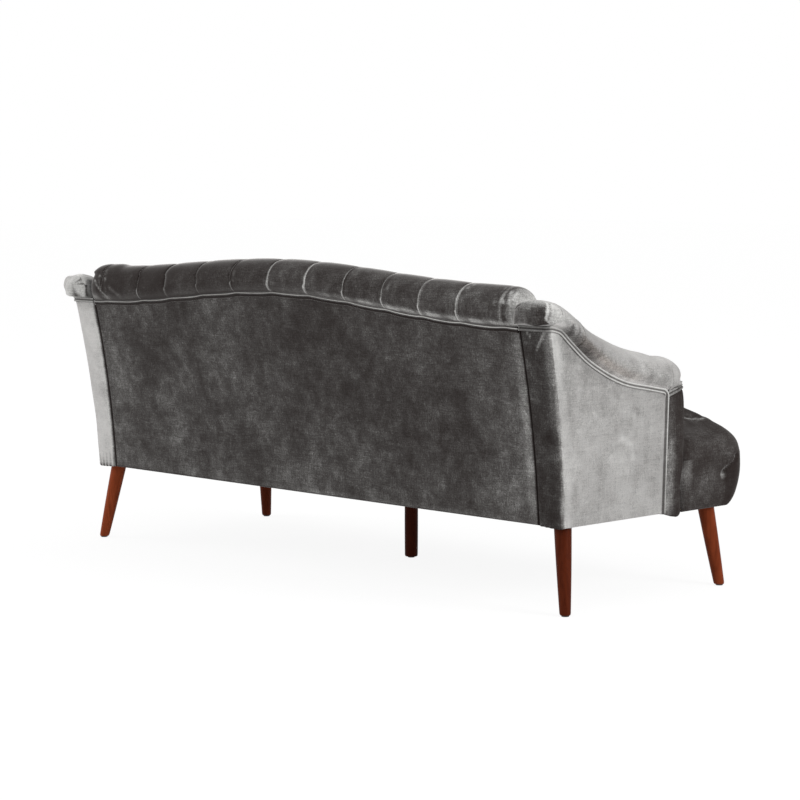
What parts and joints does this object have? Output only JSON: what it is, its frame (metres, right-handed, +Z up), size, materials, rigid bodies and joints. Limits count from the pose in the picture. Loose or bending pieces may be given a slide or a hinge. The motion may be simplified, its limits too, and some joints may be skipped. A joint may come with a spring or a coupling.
{
  "type": "sofa",
  "caption": "Velvet settee with a camel back, a pleated roll over the top, low S-curved rolled arms, a tight tufted seat and splayed tapered wooden legs.",
  "frame": {"origin": "on the floor, under the middle of the object's bounding box", "axes": "+X along the length, towards the left as a sitter faces out; +Y towards the back; +Z up"},
  "size_m": [1.8544, 0.8286, 0.818],
  "materials": {
    "velvet": "grey short-pile velvet with a nap that shades light and dark",
    "piping": "grey velvet over cord",
    "leg_wood": "red-brown stained hardwood, satin lacquer",
    "frame_timber": "planed, unfinished",
    "zinc_steel": "zinc plated",
    "spring_steel": "oiled spring wire",
    "felt": "needled cotton felt",
    "jute_webbing": "woven jute",
    "cambric": "black non-woven cloth",
    "glide_nylon": "moulded nylon"
  },
  "bodies": {
    "root": {"leg_rear_right": "leg_wood", "foot_glide_rear_right": "glide_nylon", "hanger_bolt_rear_right": "zinc_steel", "leg_plate_rear_right": "zinc_steel", "leg_rear_left": "leg_wood", "foot_glide_rear_left": "glide_nylon", "hanger_bolt_rear_left": "zinc_steel", "leg_plate_rear_left": "zinc_steel", "leg_front_right": "leg_wood", "foot_glide_front_right": "glide_nylon", "hanger_bolt_front_right": "zinc_steel", "leg_plate_front_right": "zinc_steel", "leg_front_left": "leg_wood", "foot_glide_front_left": "glide_nylon", "hanger_bolt_front_left": "zinc_steel", "leg_plate_front_left": "zinc_steel", "leg_centre": "leg_wood", "foot_glide_centre": "glide_nylon", "hanger_bolt_centre": "zinc_steel", "leg_plate_centre": "zinc_steel", "seat_rail_front": "frame_timber", "seat_rail_rear": "frame_timber", "seat_rail_side_right": "frame_timber", "seat_rail_side_left": "frame_timber", "seat_stretcher": "frame_timber", "corner_block_rear_right": "frame_timber", "corner_block_rear_left": "frame_timber", "corner_block_front_right": "frame_timber", "corner_block_front_left": "frame_timber", "back_post_right": "frame_timber", "back_post_left": "frame_timber", "back_post_centre": "frame_timber", "back_top_rail": "frame_timber", "back_liner_rail": "frame_timber", "back_webbing_1": "jute_webbing", "back_webbing_2": "jute_webbing", "arm_rail_right": "frame_timber", "arm_rail_left": "frame_timber", "arm_post_right": "frame_timber", "arm_post_left": "frame_timber", "seat_spring_1": "spring_steel", "seat_spring_2": "spring_steel", "seat_spring_3": "spring_steel", "seat_spring_4": "spring_steel", "seat_spring_5": "spring_steel", "seat_spring_6": "spring_steel", "spring_insulator": "felt", "dust_cover": "cambric", "arm_pad_right": "velvet", "arm_pad_left": "velvet", "arm_front_pad_right": "velvet", "arm_front_pad_left": "velvet", "back_cushion": "velvet", "seat_cushion": "velvet", "outside_back_panel": "velvet", "outside_arm_cover_right": "velvet", "outside_arm_cover_left": "velvet", "back_welt": "piping", "arm_welt_right": "piping", "arm_welt_left": "piping"}
  },
  "joints": []
}
